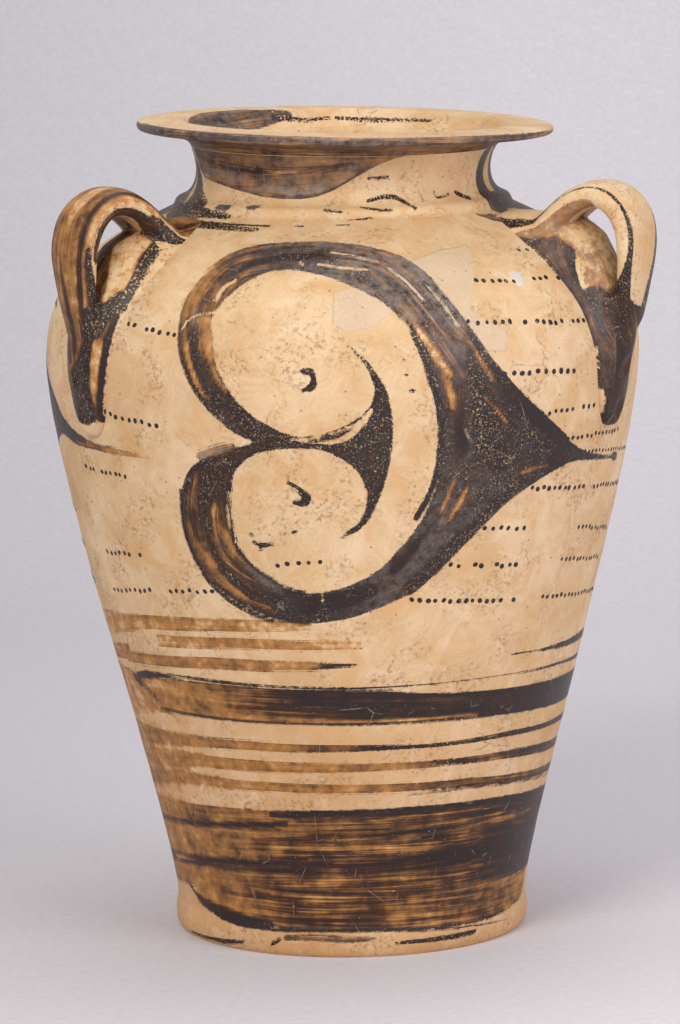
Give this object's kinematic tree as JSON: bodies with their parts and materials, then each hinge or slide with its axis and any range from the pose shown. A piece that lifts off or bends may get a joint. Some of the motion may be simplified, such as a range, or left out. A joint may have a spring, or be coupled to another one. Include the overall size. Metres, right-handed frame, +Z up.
{
  "type": "three-handled storage jar",
  "caption": "Wide-shouldered painted clay storage jar with a flat foot, short neck, everted flat rim and vertical strap handles round the shoulder.",
  "frame": {"origin": "centre of the flat sole, on the jar's axis, on the surface that the jar stands on", "axes": "+Z up along the jar's axis; the painted front faces -Y; one handle at the back on +Y and the other two 120 degrees to either side"},
  "size_m": [0.2558, 0.267, 0.35],
  "materials": {
    "buff_clay": "fired buff clay, smoothed, slightly satin",
    "painted_clay": "fired buff clay with brushed, worn dark iron-slip paint",
    "handle_clay": "fired buff clay with worn brown iron-slip paint",
    "plaster_fill": "smooth tinted restorer's plaster, matt",
    "grey_plaster": "untinted restorer's plaster, matt"
  },
  "bodies": {
    "root": {"floor_disc": "buff_clay", "foot_ring": "buff_clay", "lower_wall": "painted_clay", "belly_wall": "painted_clay", "shoulder": "buff_clay", "neck": "buff_clay", "rim": "buff_clay", "neck_fill": "plaster_fill", "shoulder_fill": "plaster_fill", "shoulder_plug": "grey_plaster", "handle_saddle_left": "painted_clay", "handle_strap_left": "handle_clay", "handle_heel_left": "painted_clay", "handle_saddle_right": "painted_clay", "handle_strap_right": "handle_clay", "handle_heel_right": "painted_clay", "handle_saddle_back": "painted_clay", "handle_strap_back": "handle_clay", "handle_heel_back": "painted_clay"}
  },
  "joints": []
}
